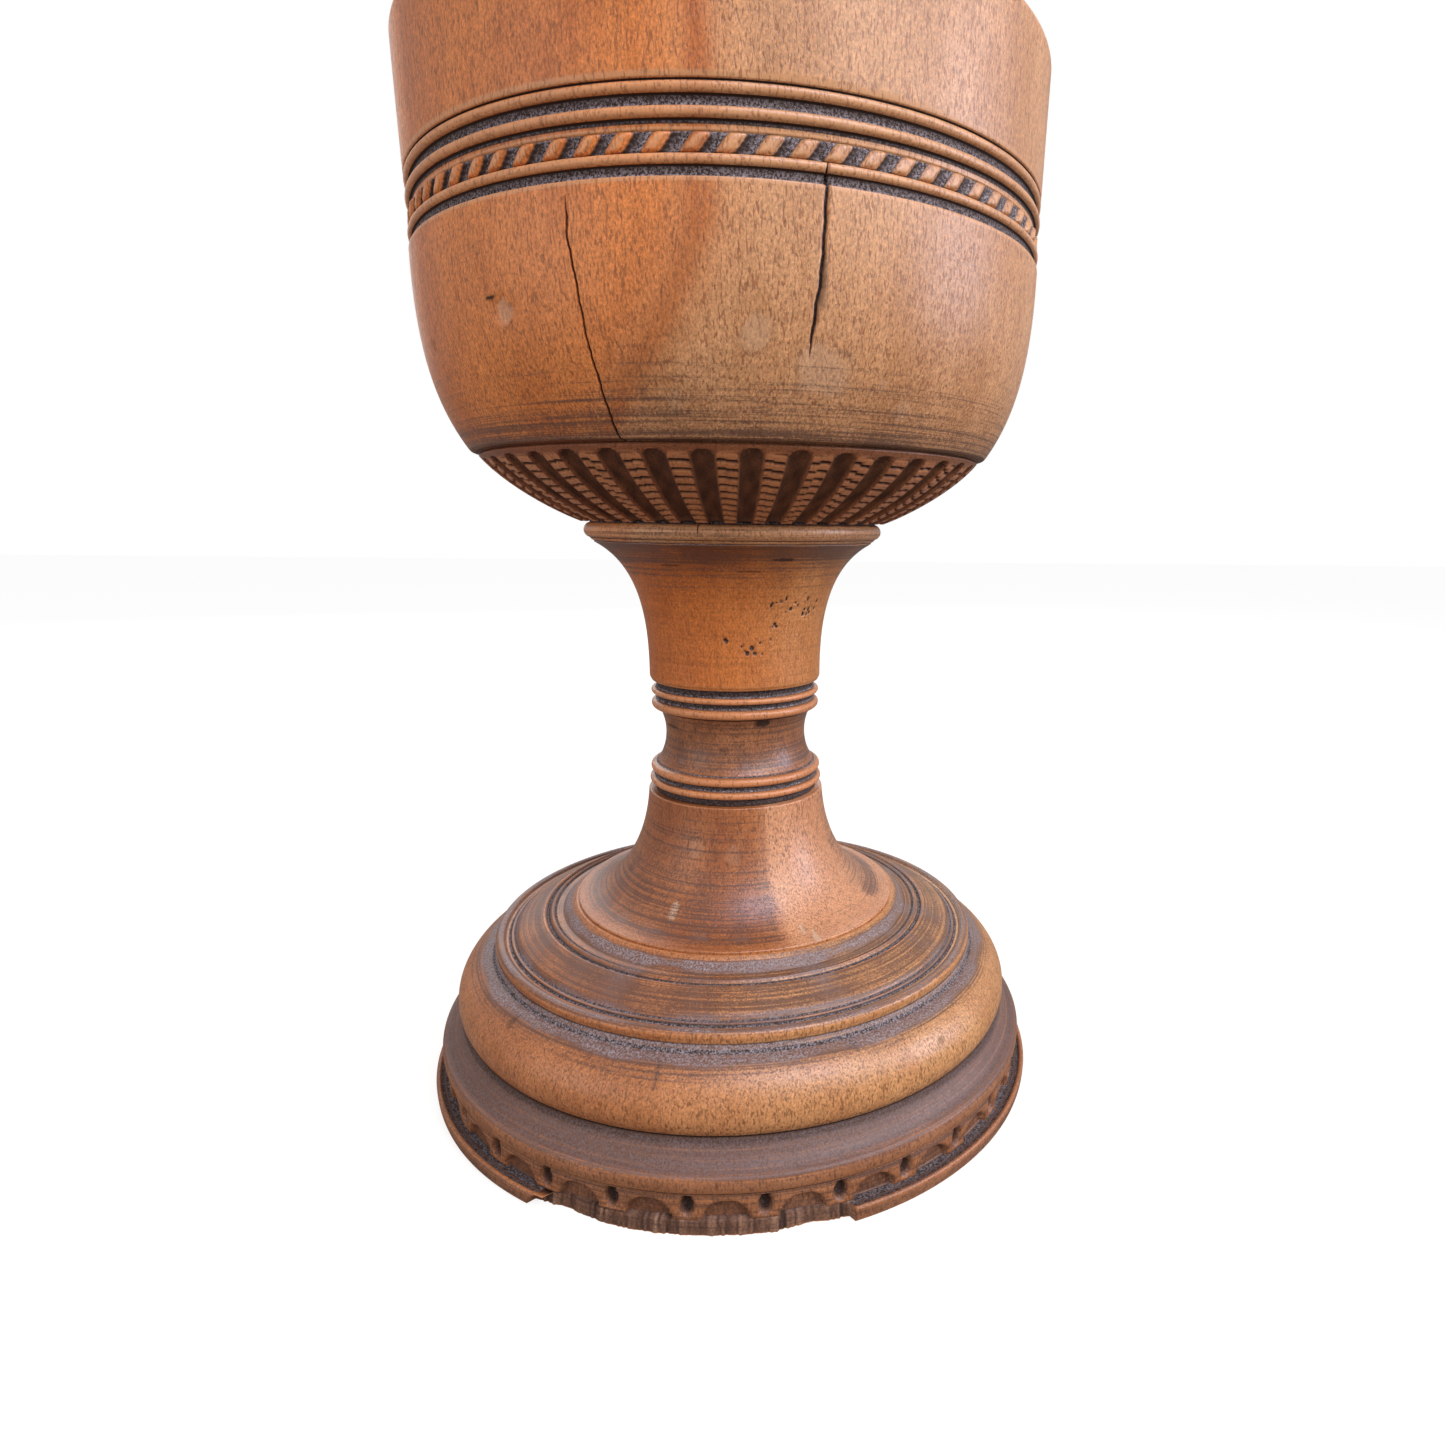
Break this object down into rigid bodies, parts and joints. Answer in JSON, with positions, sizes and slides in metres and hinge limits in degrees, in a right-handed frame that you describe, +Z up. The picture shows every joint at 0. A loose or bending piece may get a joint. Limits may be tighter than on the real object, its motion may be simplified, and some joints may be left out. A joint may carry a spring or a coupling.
{
  "type": "communion chalice",
  "caption": "Turned wooden standing cup with a deep round bowl, fluted underside, ringed waist and broad moulded foot on a carved plinth.",
  "frame": {"origin": "centre of the flat underside of the plinth, on the axis of turning", "axes": "+Z up along the axis of turning, -Y towards the front, where the plinth's lip is broken away, +X to the right seen from the front"},
  "size_m": [0.154, 0.152, 0.23],
  "materials": {
    "bowl_wood": "waxed, satin",
    "stem_wood": "waxed, satin",
    "knop_wood": "waxed, worn",
    "cone_wood": "waxed, satin",
    "foot_wood": "waxed, satin",
    "plinth_wood": "waxed, dusty and chipped"
  },
  "bodies": {
    "root": {"bowl": "bowl_wood", "stem": "stem_wood", "knop": "knop_wood", "cone": "cone_wood", "foot": "foot_wood", "plinth": "plinth_wood"}
  },
  "joints": []
}
